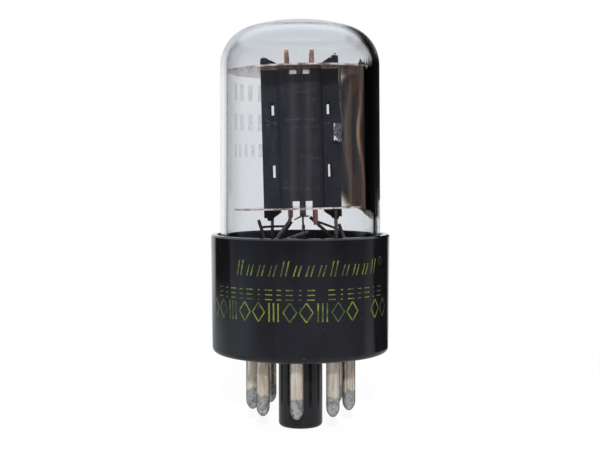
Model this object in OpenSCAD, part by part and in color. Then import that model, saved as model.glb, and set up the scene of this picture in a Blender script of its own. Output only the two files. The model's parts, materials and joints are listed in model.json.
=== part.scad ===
// Octal-base twin triode vacuum tube with a short T9 bulb.
// Millimetres. The origin is on the tube's axis at the seating plane under the base,
// +Z points up along the bulb and -Y is the front.

/* [Base] */
// Height of the moulded base above the seating plane
base_h = 21.1; // [19:0.1:22]
// Radius of the base just above its rounded bottom edge
base_foot_r = 15.85; // [15.8:0.05:16]
// Radius of the base at its rim
base_rim_r = 16.05; // [16:0.05:16.3]
// Thickness of the base wall at the rim
base_wall = 1.2; // [1:0.05:1.25]
// Thickness of the base floor that holds the pins
base_floor = 2.4; // [2:0.1:3]
// Radius of the rounded bottom edge
base_edge_r = 1; // [0.6:0.1:1.5]

/* [Locating post] */
// Diameter of the central locating post
post_d = 7.92; // [7.8:0.02:8]
// Length of the locating post below the seating plane
post_len = 13.6; // [12:0.1:14]
// Width of the key rib on the locating post
key_w = 1.9; // [1.6:0.1:2]
// Distance from the axis to the outside of the key rib
key_reach = 4.94; // [4.6:0.02:5]
// Direction of the key rib, in degrees from the front towards +X
key_turn = 153; // [0:1:359]

/* [Pins] */
// Diameter of a contact pin
pin_d = 2.36; // [2.3:0.02:2.42]
// Diameter of the circle that the pins stand on
pin_circle_d = 17.45; // [17.4:0.01:17.5]
// Length of a pin below the seating plane
pin_len = 10.8; // [10:0.05:11]
// Diameter of a pin's shank, where it is held in the floor of the base
pin_shank_d = 2.72; // [2.7:0.02:2.9]
// Direction of the pin nearest the front, in degrees from the front towards +X
pin_turn = -4.5; // [-22:0.5:22]

/* [Bulb] */
// Height of the bulb's top above the seating plane
seated_h = 59.3; // [59.2:0.1:60]
// Outer radius of the bulb at the rim of the base
bulb_r = 14.45; // [14.4:0.05:14.5]
// Outer radius of the bulb where the shoulder starts
bulb_neck_r = 14.2; // [14.1:0.05:14.3]
// Radius of the rounded shoulder
shoulder_r = 7.2; // [7:0.1:7.4]
// Radius of the crown
crown_r = 32; // [31:0.5:33]
// Thickness of the glass
glass_t = 1.2; // [1:0.05:1.2]

/* [Cage] */
// Sideways shift of the electrode cage at the upper mica
cage_shift = -0.1; // [-0.1:0.05:0]
// Sideways lean of the electrode cage, in degrees towards -X at its top
lean_side = 1.3; // [0:0.1:1.5]
// Backward lean of the electrode cage, in degrees
lean_back = 1; // [0:0.1:1]
// Height of the upper mica's middle plane
mica_top_z = 50.2; // [50:0.1:50.4]
// Distance between the two micas, middle to middle
mica_gap = 24.4; // [24:0.1:25]
// Thickness of a mica
mica_t = 0.3; // [0.2:0.05:0.4]
// Radius of the upper mica without its points
mica_top_r = 12.6; // [12:0.1:12.6]
// Radius of the lower mica without its points
mica_low_r = 12; // [11.5:0.1:12.2]
// Length of the points around a mica's rim
mica_point = 0.3; // [0.1:0.05:0.3]
// Distance from the tube's axis to each triode's axis
triode_y = 4.1; // [4:0.05:4.2]

/* [Plates] */
// Thickness of the plate sheet
sheet_t = 0.2; // [0.15:0.01:0.22]
// Width of a plate across its flanges
plate_w = 13.5; // [13:0.1:14]
// Width of the box part of a plate where it joins the flanges
box_w = 7.9; // [7.6:0.1:8.2]
// Width of the flat face of the box part
face_w = 6.3; // [6:0.1:6.6]
// Depth of the box part in front of the flange
box_depth = 2.15; // [2:0.05:2.3]
// Width of a notch in the ends of the plate's face
notch_w = 3.75; // [3.5:0.05:4]
// Height of the notch at the upper end
notch_top_h = 0.95; // [0.8:0.05:1.2]
// Height of the notch at the lower end
notch_low_h = 1.1; // [0.8:0.05:1.3]
// Width of a staple slot in the flanges
slot_w = 0.72; // [0.6:0.02:0.8]
// Height of a staple slot
slot_h = 2.7; // [2.4:0.1:3]
// Distance from the triode's axis to a staple slot
slot_x = 4.93; // [4.8:0.01:5.2]
// Heights of the two rows of staple slots
slot_rows = [32.4, 43.3]; // [28:0.1:48]

/* [Grids] */
// Diameter of a grid side rod
rod_d = 0.78; // [0.7:0.02:0.8]
// Distance between a grid's two side rods
rod_gap = 4.4; // [4.2:0.1:4.6]
// Height of the upper ends of the side rods above the upper mica
rod_rise = 3.4; // [2:0.1:3.6]
// Thickness of the grid wire
grid_wire_d = 0.12; // [0.08:0.01:0.14]
// Pitch of the grid winding
grid_pitch = 0.95; // [0.8:0.05:1.2]
// Half depth of the flattened grid winding
grid_depth = 1.25; // [1:0.05:1.4]
// Number of turns of the grid winding
grid_turns = 21; // [16:1:22]

/* [Cathodes and heaters] */
// Outer diameter of a cathode sleeve
sleeve_d = 1.08; // [1:0.02:1.1]
// Wall of a cathode sleeve
sleeve_t = 0.08; // [0.06:0.01:0.1]
// Thickness of the emissive coating on a sleeve
coat_t = 0.08; // [0.05:0.01:0.1]
// Thickness of a coated heater strand
heater_d = 0.2; // [0.16:0.02:0.22]

/* [Leads] */
// Diameter of a lead through the stem
lead_d = 0.6; // [0.5:0.02:0.64]
// Diameter of the circle that the leads stand on in the stem
lead_circle_d = 15; // [14.6:0.1:15.4]
// Diameter of the thin heater jumper and ties
tie_d = 0.42; // [0.3:0.02:0.46]

/* [Getter] */
// Width of the getter trough
getter_w = 1.3; // [1:0.1:1.6]
// Height of the getter trough
getter_h = 3.1; // [2.5:0.1:3.5]
// Depth of the getter trough
getter_depth = 0.9; // [0.6:0.1:1.1]
// Thickness of the mirror film on the glass
film_t = 0.05; // [0.03:0.01:0.06]

/* [Hidden] */

$fn = 64;
eps = 0.01;

// Colours
phenolic = [0.07, 0.07, 0.08];
nickel = [0.72, 0.68, 0.62];
solder_grey = [0.62, 0.62, 0.63];
glass_clear = [0.8, 0.86, 0.9, 0.3];
mica_beige = [0.74, 0.68, 0.62];
carbon = [0.2, 0.2, 0.22];
copper = [0.72, 0.45, 0.36];
ceramic_white = [0.92, 0.91, 0.88];

// Base and pins
pin_r = pin_d / 2;
pin_shank_r = pin_shank_d / 2;
pin_bore_r = 0.85;
pin_tip_r = 0.7;
pin_mouth_r = 0.46;
pin_taper = 1.85;
pin_tip_h = 0.42;
pin_bore_h = 2;
pin_head_r = 1.6;
pin_head_h = 0.35;
plug_top_z = -pin_len + 2.9;
lead_foot_z = -pin_len + 1.6;
base_in_r = base_rim_r - base_wall;
post_r = post_d / 2;
post_bore_r = 2.7;
post_end_t = 1.3;
post_round = 0.7;
cement_z = [9.9, 16.5];

// Bulb and stem
crown_z = seated_h - crown_r;
shoulder_x = bulb_neck_r - shoulder_r;
shoulder_z = crown_z + sqrt(pow(crown_r - shoulder_r, 2) - pow(shoulder_x, 2));
shoulder_turn = atan2(shoulder_z - crown_z, shoulder_x);
seal_r = 3;
seal_z = 9.8;
stem_z = [6.7, 8.2];
stem_r = bulb_r - seal_r;
bead_r = 0.95;
bead_z = 9.2;
tube_r = 2.1;
tube_bore_r = 1.1;
tube_tip_z = -5.5;

// Cage
mica_low_z = mica_top_z - mica_gap;
cage_z = [mica_low_z + mica_t / 2, mica_top_z - mica_t / 2];
slot_gap = 0.03;
staple_w = slot_w - 0.04;
staple_h = 1.35;
ear_w = 2.84;
ear_peak = [2.1, 2.4];
rod_r = rod_d / 2;
sleeve_r = sleeve_d / 2;
sleeve_z = [mica_low_z - mica_t / 2 - 1.2, mica_top_z + mica_t / 2 + 0.55];
coat_z = [30, 47];
lead_r = lead_d / 2;
tie_r = tie_d / 2;

// ---------- Helpers ----------

// A point at a radius and a direction, in degrees from the front towards +X
function around(r, turn, z = 0) = [r * sin(turn), -r * cos(turn), z];

// The same point in a plane
function around_flat(r, turn) = [r * sin(turn), -r * cos(turn)];

// A list back to front
function reversed(list) = [for (i = [len(list) - 1:-1:0]) list[i]];

// Direction of the contact pin with this index
function pin_dir(i) = pin_turn + 45 * i;

// Points along an arc in the plane of a profile
function arc(centre, r, from, to, steps = 12) =
    [for (i = [0:steps]) let (a = from + (to - from) * i / steps)
        centre + r * [cos(a), sin(a)]];

// A point of the upright cage, moved to where the leaning cage holds it
function leaned(p) =
    let (
        q = p - [0, 0, mica_top_z],
        b = [q.x, q.y * cos(lean_back) + q.z * sin(lean_back),
             -q.y * sin(lean_back) + q.z * cos(lean_back)]
    )
    [b.x * cos(lean_side) - b.z * sin(lean_side) + cage_shift, b.y,
     b.x * sin(lean_side) + b.z * cos(lean_side) + mica_top_z];

// Puts the upright cage where the leaning cage is, turned about the upper mica
module in_cage() {
    translate([cage_shift, 0, mica_top_z])
        rotate([-lean_back, -lean_side, 0])
            translate([0, 0, -mica_top_z])
                children();
}

// A straight round bar between two points
module bar(a, b, r) {
    run = b - a;
    translate(a)
        rotate([0, acos(run.z / norm(run)), atan2(run.y, run.x)])
            cylinder(h = norm(run), r = r, $fn = 24);
}

// A strand of straight bars with a ball at each corner
module strand(path, r) {
    ball_scale = 1.03;
    for (i = [0:len(path) - 2])
        bar(path[i], path[i + 1], r);
    for (i = [1:len(path) - 2])
        translate(path[i])
            sphere(r * ball_scale, $fn = 24);
}

// A point on the smooth curve from b to c, with a and d as the points before and after them
function between(a, b, c, d, t) =
    (2 * b + (c - a) * t + (2 * a - 5 * b + 4 * c - d) * t * t
     + (3 * b - a - 3 * c + d) * t * t * t) / 2;

// The points of a path, joined by a smooth curve through them
function smooth(path, steps) =
    let (last = len(path) - 1)
    concat(
        [for (i = [0:last - 1], k = [0:steps - 1])
            between(path[max(i - 1, 0)], path[i], path[i + 1], path[min(i + 2, last)], k / steps)],
        [path[last]]
    );

// The corners of a round wire's section at one point of its line
function wire_ring(line, i, r, sides) =
    let (
        run = line[min(i + 1, len(line) - 1)] - line[max(i - 1, 0)],
        along = run / norm(run),
        side = cross(along, [0, 1, 0]),
        u = side / norm(side),
        v = cross(along, u)
    )
    [for (k = [0:sides - 1]) let (a = 360 * k / sides) line[i] + r * (cos(a) * u + sin(a) * v)];

// The faces of a skin over rings of points, closed at both ends
function skin_faces(rings, sides) = concat(
    [[for (k = [0:sides - 1]) k]],
    [for (i = [0:rings - 2], k = [0:sides - 1])
        let (p = sides * i + k, q = sides * i + (k + 1) % sides)
        [p, p + sides, q + sides, q]],
    [[for (k = [sides - 1:-1:0]) sides * (rings - 1) + k]]
);

// A round wire bent smoothly through a list of points
module wire(path, r) {
    sides = 12;
    line = smooth(path, 4);
    polyhedron(
        points = [for (i = [0:len(line) - 1]) each wire_ring(line, i, r, sides)],
        faces = skin_faces(len(line), sides)
    );
}

// ---------- Base ----------

// Outline of the hollow base, to the right of the axis
module base_outline() {
    rim_soft = 0.3;
    polygon(concat(
        [[0, 0]],
        arc([base_foot_r - base_edge_r, base_edge_r], base_edge_r, -90, 0),
        [[base_rim_r, base_h - rim_soft], [base_rim_r - rim_soft, base_h],
         [base_in_r + rim_soft / 2, base_h], [base_in_r, base_h - rim_soft],
         [base_in_r, base_floor + base_edge_r]],
        arc([base_in_r - base_edge_r, base_floor + base_edge_r], base_edge_r, 0, -90),
        [[0, base_floor]]
    ));
}

// Outline of the locating post, to the right of the axis
module post_outline() {
    polygon(concat(
        [[0, -post_len]],
        arc([post_r - post_round, post_round - post_len], post_round, -90, 0),
        [[post_r, eps], [0, eps]]
    ));
}

module base_shell() {
    key_soft = 0.8;
    color(phenolic)
    difference() {
        union() {
            rotate_extrude($fn = 120) base_outline();
            rotate_extrude() post_outline();
            rotate([0, 0, key_turn])
                translate([-key_w / 2, 0, 0])
                    rotate([90, 0, 90])
                        linear_extrude(key_w)
                            polygon([[0, eps], [-key_reach, eps], [-key_reach, key_soft - post_len],
                                     [key_soft - key_reach, -post_len], [0, -post_len]]);
        }
        translate([0, 0, post_end_t - post_len])
            cylinder(h = post_len + base_floor, r = post_bore_r);
        for (i = [0:7])
            translate(around(pin_circle_d / 2, pin_dir(i), -1))
                cylinder(h = base_floor + 2, r = pin_shank_r, $fn = 48);
    }
}

module basing_cement() {
    color([0.55, 0.47, 0.36])
    translate([0, 0, cement_z[0]])
        difference() {
            cylinder(h = cement_z[1] - cement_z[0], r = base_in_r, $fn = 120);
            translate([0, 0, -1])
                cylinder(h = cement_z[1] - cement_z[0] + 2, r = bulb_r, $fn = 120);
        }
}

// ---------- Pins ----------

// One hollow contact pin, with its shank in the base floor and its head over it
module pin(i) {
    color(nickel)
    translate(around(pin_circle_d / 2, pin_dir(i)))
        rotate_extrude($fn = 48)
            polygon([
                [pin_bore_r, base_floor + pin_head_h], [pin_head_r, base_floor + pin_head_h],
                [pin_head_r, base_floor], [pin_shank_r, base_floor], [pin_shank_r, 0],
                [pin_r, 0], [pin_r, pin_taper - pin_len], [pin_r - 0.04, 1.4 - pin_len],
                [pin_r - 0.14, 1 - pin_len], [pin_r - 0.29, 0.7 - pin_len],
                [pin_tip_r, pin_tip_h - pin_len], [pin_mouth_r, pin_tip_h - pin_len],
                [pin_bore_r, pin_bore_h - pin_len]
            ]);
}

module pin_1() { pin(4); }
module pin_2() { pin(5); }
module pin_3() { pin(6); }
module pin_4() { pin(7); }
module pin_5() { pin(0); }
module pin_6() { pin(1); }
module pin_7() { pin(2); }
module pin_8() { pin(3); }

// The solder that fills the tip of each pin round its lead and rounds its end
module pin_solder() {
    color(solder_grey)
    for (i = [0:7])
        translate(around(pin_circle_d / 2, pin_dir(i)))
            rotate_extrude($fn = 48)
                polygon([
                    [pin_tip_r, pin_tip_h - pin_len], [0.54, 0.22 - pin_len],
                    [0.33, 0.07 - pin_len], [0, -pin_len],
                    [0, lead_foot_z], [lead_r, lead_foot_z], [lead_r, plug_top_z],
                    [pin_bore_r, plug_top_z], [pin_bore_r, pin_bore_h - pin_len],
                    [pin_mouth_r, pin_tip_h - pin_len]
                ]);
}

// ---------- Glass ----------

// Outline of the bulb's outside, or of its inside when inset is the glass thickness
function bulb_edge(inset) = concat(
    arc([stem_r, seal_z], seal_r - inset, -90, 0),
    arc([shoulder_x, shoulder_z], shoulder_r - inset, 0, shoulder_turn, 20),
    arc([0, crown_z], crown_r - inset, shoulder_turn, 90, 16)
);

module glass_bulb() {
    color(glass_clear)
    rotate_extrude($fn = 120)
        polygon(concat(bulb_edge(0), reversed(bulb_edge(glass_t))));
}

// The button stem with its beads and the sealed exhaust tube
module glass_stem() {
    tip_round = 1.6;
    color(glass_clear)
    difference() {
        union() {
            translate([0, 0, stem_z[0]])
                cylinder(h = stem_z[1] - stem_z[0], r = stem_r);
            rotate_extrude()
                polygon(concat(
                    [[0, tube_tip_z]],
                    arc([tube_r - tip_round, tube_tip_z + tip_round], tip_round, -70, 0),
                    [[tube_r, stem_z[0] - 1], [tube_r + 0.8, stem_z[0] + eps],
                     [0, stem_z[0] + eps]]
                ));
            for (i = [0:7])
                translate(around(lead_circle_d / 2, pin_dir(i), stem_z[1] - eps))
                    cylinder(h = bead_z - stem_z[1], r1 = bead_r, r2 = lead_r + 0.15, $fn = 32);
        }
        translate([0, 0, tube_tip_z + 3])
            cylinder(h = stem_z[1] - tube_tip_z, r = tube_bore_r);
        for (i = [0:7])
            translate(around(lead_circle_d / 2, pin_dir(i), stem_z[0] - 1))
                cylinder(h = bead_z - stem_z[0] + 2, r = lead_r, $fn = 24);
    }
}

// The getter's mirror film on the inside of the glass, on the +X side
module getter_film() {
    film_z = [24.2, 50.6];
    film_turn = [50, 150];
    wall_r = bulb_r - glass_t - 0.25;
    color([0.12, 0.12, 0.13])
    rotate([0, 0, film_turn[0] - 90])
        rotate_extrude(angle = film_turn[1] - film_turn[0], $fn = 120)
            translate([wall_r - film_t, film_z[0]])
                square([film_t, film_z[1] - film_z[0]]);
}

// ---------- Leads ----------

// Path of a lead from its pin, through the stem and on through the points above it
function lead_path(i, above) = concat(
    [for (z = [lead_foot_z, base_floor + 0.9]) around(pin_circle_d / 2, pin_dir(i), z)],
    [for (z = [stem_z[0] - 1.2, stem_z[0], bead_z, bead_z + 1])
        around(lead_circle_d / 2, pin_dir(i), z)],
    above
);

module lead(i, above) {
    color(nickel) wire(lead_path(i, above), lead_r);
}

// Where the plate leads meet the ears below the lower mica
ear_x = 5.5;
plate_lead_top = mica_low_z - 0.5;
flange_front = sheet_t + lead_r + slot_gap;

module cathode_a_lead() {
    lead(0, [[-2.2, -7.2, 17.5], [-2.6, -7.1, 20.1], [-1.5, -6.9, 20.9], [1.4, -6.5, 21.85]]);
}

module plate_a_lead() {
    top = leaned([ear_x + 0.2, -triode_y - flange_front, plate_lead_top]);
    lead(1, [[5.7, -5.3, 16.5], [top.x, top.y, 20], top]);
}

module grid_b_lead() {
    lead(2, [[8.2, -0.5, 18.4], [6.92, -0.6, 22.9]]);
}

module heater_lead_right() {
    lead(3, [[6.9, 2, 18.6], [5.88, 1, 20.3], [3, 0.3, 23], [1.8, 0, 24.1]]);
}

module cathode_b_lead() {
    lead(4, [[0.6, 6.8, 18], [0.6, 5.9, 22.4]]);
}

module plate_b_lead() {
    top = leaned([-ear_x - 0.1, triode_y - flange_front, plate_lead_top]);
    lead(5, [[-5.1, 4.4, 18], [top.x, top.y, 20.5], top]);
}

module heater_lead_left() {
    lead(6, [[-6.1, 0.6, 17.8], [-7.54, 0.5, 23.6]]);
}

module grid_a_lead() {
    rod_end = leaned([-rod_gap / 2, -triode_y, 24.2]);
    beside = rod_end - [0, rod_r + lead_r + eps, 0];
    lead(7, [[-5.2, -4.95, 17.5], [-4.05, beside.y, 20.6], beside - [0.3, 0, 0.8],
             beside + [0, 0, 0.3]]);
}

module heater_jumper() {
    color(carbon) wire([[-7.1, 1.12, 22.25], [-5, 1, 22.4], [-2.2, 0.52, 22.45]], tie_r);
}

module heater_bus() {
    color(carbon) wire([[-3.6, 0, 20.4], [-2.5, 0, 21.8], [-1.5, 0, 23.3]], tie_r);
}

module grid_b_tie() {
    rod_end = leaned([rod_gap / 2, triode_y, 23.4]);
    color(nickel)
    wire([[6.9, -0.02, 21.9], [5.2, 1.5, 22.5], rod_end + [0.3, -0.65, -0.15]], tie_r);
}

// A thin ribbon from the foot of a cathode sleeve to its lead
module ribbon(path) {
    ribbon_r = 0.16;
    color(nickel) wire(path, ribbon_r);
}

module cathode_a_ribbon() {
    foot = leaned([0, -triode_y - sleeve_r - 0.17, sleeve_z[0] + 0.5]);
    ribbon([foot, foot - [0, 0.3, 1.5], [0.5, -6.15, 21.7]]);
}

module cathode_b_ribbon() {
    foot = leaned([0, triode_y + sleeve_r + 0.17, sleeve_z[0] + 0.5]);
    ribbon([foot, foot + [0, 0.3, -1.2], [0.6, 5.44, 22.2]]);
}

// ---------- Micas ----------

// A mica with its points, rod holes, cathode holes and slots for the plate ears
module mica(r, z) {
    points = 16;
    half_turn = 5;
    slot_t = 2 * sheet_t + 0.06;
    color(mica_beige)
    in_cage()
        translate([0, 0, z - mica_t / 2])
            difference() {
                union() {
                    cylinder(h = mica_t, r = r, $fn = 96);
                    linear_extrude(mica_t)
                        for (k = [0:points - 1])
                            rotate(k * 360 / points)
                                polygon([around_flat(r - 0.3, -half_turn),
                                         around_flat(r + mica_point, 0),
                                         around_flat(r - 0.3, half_turn)]);
                }
                for (y = [-triode_y, triode_y]) {
                    for (x = [-rod_gap / 2, rod_gap / 2])
                        translate([x, y, -1])
                            cylinder(h = mica_t + 2, r = rod_r, $fn = 24);
                    translate([0, y, -1])
                        cylinder(h = mica_t + 2, r = sleeve_r, $fn = 32);
                    for (side = [-1, 1])
                        translate([side * (plate_w / 2 - ear_w / 2), y, mica_t / 2])
                            cube([ear_w + 0.1, slot_t, mica_t + 2], center = true);
                }
            }
}

module mica_top() { mica(mica_top_r, mica_top_z); }
module mica_bottom() { mica(mica_low_r, mica_low_z); }

// ---------- Plates ----------

// Points of the line along the middle of half a plate's sheet, from one flange to the other
function plate_line() =
    let (
        flange_y = sheet_t / 2,
        face_y = box_depth,
        bend_r = 0.7,
        half = concat(
            [[face_w / 2 - bend_r / 2, face_y]],
            [for (p = arc([face_w / 2 - bend_r / 2, face_y - bend_r], bend_r, 72, 18, 3)) p],
            [[face_w / 2 + 0.5, face_y * 0.55], [box_w / 2 - 0.1, flange_y + 0.15],
             [box_w / 2 + 0.1, flange_y], [plate_w / 2, flange_y]]
        )
    )
    concat([for (p = reversed(half)) [-p.x, p.y]], half);

// Direction across a line at its point i
function across(line, i) =
    let (
        a = line[max(i - 1, 0)],
        b = line[min(i + 1, len(line) - 1)],
        d = (b - a) / norm(b - a)
    )
    [-d.y, d.x];

// A line given a thickness
module thick_line(line, t) {
    last = len(line) - 1;
    polygon(concat(
        [for (i = [0:last]) line[i] + across(line, i) * t / 2],
        [for (i = [last:-1:0]) line[i] - across(line, i) * t / 2]
    ));
}

// Outline of an ear that stands above the upper mica, measured from the plate's outer edge
module ear_top_outline(peak) {
    polygon([[0, -1], [0, peak - 0.5], [0.5, peak], [ear_w - 0.15, 0.95], [ear_w, 0.7],
             [ear_w, -1]]);
}

// Outline of an ear that hangs below the lower mica, measured from the plate's outer edge
module ear_low_outline() {
    polygon([[0, 1], [0, -1.45], [0.45, -1.45], [0.65, -1.95], [1.3, -1.95], [1.7, -1.35],
             [2.1, -1.2], [ear_w, -0.65], [ear_w, 1]]);
}

// The four ears of half a plate, in the flange
module ears() {
    for (side = [-1, 1])
        translate([side * plate_w / 2, sheet_t, 0])
            rotate([90, 0, 0])
                linear_extrude(sheet_t) {
                    translate([0, cage_z[1] + 0.3])
                        scale_x(-side) ear_top_outline(ear_peak[side < 0 ? 0 : 1]);
                    translate([0, cage_z[0] - 0.3]) scale_x(-side) ear_low_outline();
                }
}

// Flips an outline left to right when side is negative
module scale_x(side) {
    if (side < 0) mirror([1, 0]) children();
    else children();
}

// Half a plate with its face towards +Y and its flange on the plane y = 0
module half_plate() {
    difference() {
        union() {
            translate([0, 0, cage_z[0]])
                linear_extrude(cage_z[1] - cage_z[0])
                    thick_line(plate_line(), sheet_t);
            ears();
        }
        translate([-notch_w / 2, 1, cage_z[1] - notch_top_h])
            cube([notch_w, box_depth, notch_top_h + 0.5]);
        translate([-notch_w / 2, 1, cage_z[0] - 0.5])
            cube([notch_w, box_depth, notch_low_h + 0.5]);
        for (side = [-1, 1], z = slot_rows)
            translate([side * slot_x - slot_w / 2, -1, z - slot_h / 2])
                cube([slot_w, 2, slot_h]);
    }
}

// The flaps of one staple: pushed through the other half's slot and folded flat on it
module staple(x, z) {
    fold_y = -sheet_t - slot_gap - sheet_t;
    for (side = [-1, 1])
        translate([x - staple_w / 2, 0, z])
            mirror([0, 0, side < 0 ? 1 : 0]) {
                translate([0, fold_y, slot_h / 2 - sheet_t])
                    cube([staple_w, sheet_t - fold_y, sheet_t]);
                translate([0, fold_y, slot_h / 2 - sheet_t])
                    cube([staple_w, sheet_t, staple_h + sheet_t]);
            }
}

// The half of a plate nearer the front
module front_half(y) {
    color(carbon)
    in_cage()
        translate([0, y, 0])
            mirror([0, 1, 0])
                half_plate();
}

// The half of a plate farther from the front, whose flaps hold the two halves together
module rear_half(y) {
    color(carbon)
    in_cage()
        translate([0, y, 0]) {
            half_plate();
            for (side = [-1, 1], z = slot_rows)
                staple(side * slot_x, z);
        }
}

module plate_a_front() { front_half(-triode_y); }
module plate_a_rear() { rear_half(-triode_y); }
module plate_b_front() { front_half(triode_y); }
module plate_b_rear() { rear_half(triode_y); }

// ---------- Grids ----------

// A grid side rod, from below the lower mica to above the upper one
module rod(x, y, drop) {
    low = mica_low_z - mica_t / 2 - drop;
    tip = 0.25;
    color(copper)
    in_cage()
        translate([x, y, low]) {
            cylinder(h = mica_top_z + rod_rise - low - tip, r = rod_r, $fn = 24);
            translate([0, 0, mica_top_z + rod_rise - low - tip])
                cylinder(h = tip, r1 = rod_r, r2 = rod_r * 0.7, $fn = 24);
        }
}

module grid_a_rod_left() { rod(-rod_gap / 2, -triode_y, 1.5); }
module grid_a_rod_right() { rod(rod_gap / 2, -triode_y, 2.8); }
module grid_b_rod_left() { rod(-rod_gap / 2, triode_y, 1.5); }
module grid_b_rod_right() { rod(rod_gap / 2, triode_y, 2.4); }

// Corners of the grid wire's square section at a step along the winding
function grid_ring(step, steps, a, b) =
    let (
        turn = 360 * step / steps,
        z = grid_pitch * step / steps,
        h = grid_wire_d / 2
    )
    [for (c = [[-h, -h], [h, -h], [h, h], [-h, h]])
        [(a + c[0]) * cos(turn), (b + c[0]) * sin(turn), z + c[1]]];

// A flattened helix that runs around both side rods
module winding(y) {
    steps = 16;
    rings = steps * grid_turns + 1;
    a = rod_gap / 2 + rod_r + grid_wire_d / 2 + eps;
    low = (cage_z[0] + cage_z[1] - grid_turns * grid_pitch) / 2;
    color(nickel)
    in_cage()
        translate([0, y, low])
            polyhedron(
                points = [for (i = [0:rings - 1]) each grid_ring(i, steps, a, grid_depth)],
                faces = skin_faces(rings, 4)
            );
}

module grid_a_winding() { winding(-triode_y); }
module grid_b_winding() { winding(triode_y); }

// ---------- Cathodes and heaters ----------

module sleeve(y) {
    color(nickel)
    in_cage()
        translate([0, y, sleeve_z[0]])
            difference() {
                cylinder(h = sleeve_z[1] - sleeve_z[0], r = sleeve_r, $fn = 32);
                translate([0, 0, -1])
                    cylinder(h = sleeve_z[1] - sleeve_z[0] + 2, r = sleeve_r - sleeve_t, $fn = 32);
            }
}

module cathode_a_sleeve() { sleeve(-triode_y); }
module cathode_b_sleeve() { sleeve(triode_y); }

module coating(y) {
    color(ceramic_white)
    in_cage()
        translate([0, y, coat_z[0]])
            difference() {
                cylinder(h = coat_z[1] - coat_z[0], r = sleeve_r + coat_t, $fn = 32);
                translate([0, 0, -1])
                    cylinder(h = coat_z[1] - coat_z[0] + 2, r = sleeve_r, $fn = 32);
            }
}

module cathode_a_coating() { coating(-triode_y); }
module cathode_b_coating() { coating(triode_y); }

// A folded heater: four strands in the sleeve and two legs below it
module heater(y) {
    strand_r = heater_d / 2;
    off = 0.16;
    top = sleeve_z[1] - 1.5;
    foot = sleeve_z[0] + 0.4;
    low = [0, y, sleeve_z[0] - 0.15];
    left = [-1.55, y * 0.12, sleeve_z[0] - 0.75];
    right = [1.05, y * 0.12, sleeve_z[0] - 0.15];
    color(ceramic_white)
    in_cage() {
        strand([left, low + [-0.3, 0, 0], [-off, y - off, foot], [-off, y - off, top],
                [off, y - off, top], [off, y - off, foot + 1], [off, y + off, foot + 1],
                [off, y + off, top], [-off, y + off, top], [-off, y + off, foot + 0.5],
                low + [0.3, 0, 0], right], strand_r);
    }
}

module heater_a() { heater(-triode_y); }
module heater_b() { heater(triode_y); }

// ---------- Getter ----------

// Centre of the getter trough in the upright cage
getter_at = [6.35, -triode_y - 0.75, 38.9];

// A folded trough that opens towards the glass
module getter_trough() {
    wall = 0.12;
    color([0.75, 0.74, 0.72])
    in_cage()
        translate(getter_at)
            difference() {
                cube([getter_w, getter_depth, getter_h], center = true);
                translate([wall, 0, 0])
                    cube([getter_w, getter_depth - 2 * wall, getter_h - 2 * wall], center = true);
            }
}

// The wire that holds the trough, hung from the upper mica and welded to the trough's back
module getter_support() {
    support_r = 0.18;
    side_x = getter_at.x + getter_w / 2 + support_r + eps;
    color(nickel)
    in_cage()
        wire([[side_x - 0.25, getter_at.y, cage_z[1]], [side_x - 0.25, getter_at.y, 44],
              [side_x, getter_at.y, 41], [side_x + 0.1, getter_at.y, 35.5]], support_r);
}

// ---------- Assembly ----------

base_shell();
pin_1();
pin_2();
pin_3();
pin_4();
pin_5();
pin_6();
pin_7();
pin_8();
pin_solder();
basing_cement();
glass_bulb();
glass_stem();
getter_film();
cathode_a_lead();
cathode_b_lead();
plate_a_lead();
plate_b_lead();
grid_a_lead();
grid_b_lead();
heater_lead_left();
heater_lead_right();
heater_jumper();
heater_bus();
grid_b_tie();
cathode_a_ribbon();
cathode_b_ribbon();
mica_top();
mica_bottom();
plate_a_front();
plate_a_rear();
plate_b_front();
plate_b_rear();
grid_a_rod_left();
grid_a_rod_right();
grid_b_rod_left();
grid_b_rod_right();
grid_a_winding();
grid_b_winding();
cathode_a_sleeve();
cathode_b_sleeve();
cathode_a_coating();
cathode_b_coating();
heater_a();
heater_b();
getter_trough();
getter_support();
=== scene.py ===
"""The looks of an octal-base twin triode vacuum tube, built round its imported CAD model.

Every CAD node gets a node material. The getter's film and strip and the printed marks are
Blender meshes, placed from the CAD nodes' boxes and surfaces.
"""

import json
import math

import bmesh
import bpy
from mathutils import Matrix, Vector, noise


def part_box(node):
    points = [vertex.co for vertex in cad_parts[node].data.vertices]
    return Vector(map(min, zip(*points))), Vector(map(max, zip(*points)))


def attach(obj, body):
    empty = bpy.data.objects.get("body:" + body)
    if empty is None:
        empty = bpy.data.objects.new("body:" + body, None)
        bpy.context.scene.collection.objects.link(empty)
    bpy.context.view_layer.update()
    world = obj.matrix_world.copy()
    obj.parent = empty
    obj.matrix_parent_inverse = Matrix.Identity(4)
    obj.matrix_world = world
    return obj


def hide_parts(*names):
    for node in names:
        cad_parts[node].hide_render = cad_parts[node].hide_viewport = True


MM = 0.001
TAU = 2 * math.pi

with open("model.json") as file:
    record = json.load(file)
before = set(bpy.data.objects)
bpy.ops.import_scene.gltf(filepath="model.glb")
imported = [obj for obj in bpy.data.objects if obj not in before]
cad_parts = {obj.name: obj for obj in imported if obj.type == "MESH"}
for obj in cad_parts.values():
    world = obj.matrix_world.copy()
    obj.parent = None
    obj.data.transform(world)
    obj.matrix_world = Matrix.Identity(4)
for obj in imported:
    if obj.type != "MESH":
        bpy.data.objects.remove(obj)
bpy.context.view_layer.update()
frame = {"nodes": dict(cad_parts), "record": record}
nodes = frame["nodes"]

# ---------------------------------------------------------------- places read from the frame

base_low, base_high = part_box("base_shell")
rim_r = base_high.x
crown_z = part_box("glass_bulb")[1].z
mica_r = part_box("mica_top")[1].x
getter_low, getter_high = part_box("getter_trough")
film_box_low, film_box_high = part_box("getter_film")
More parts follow.
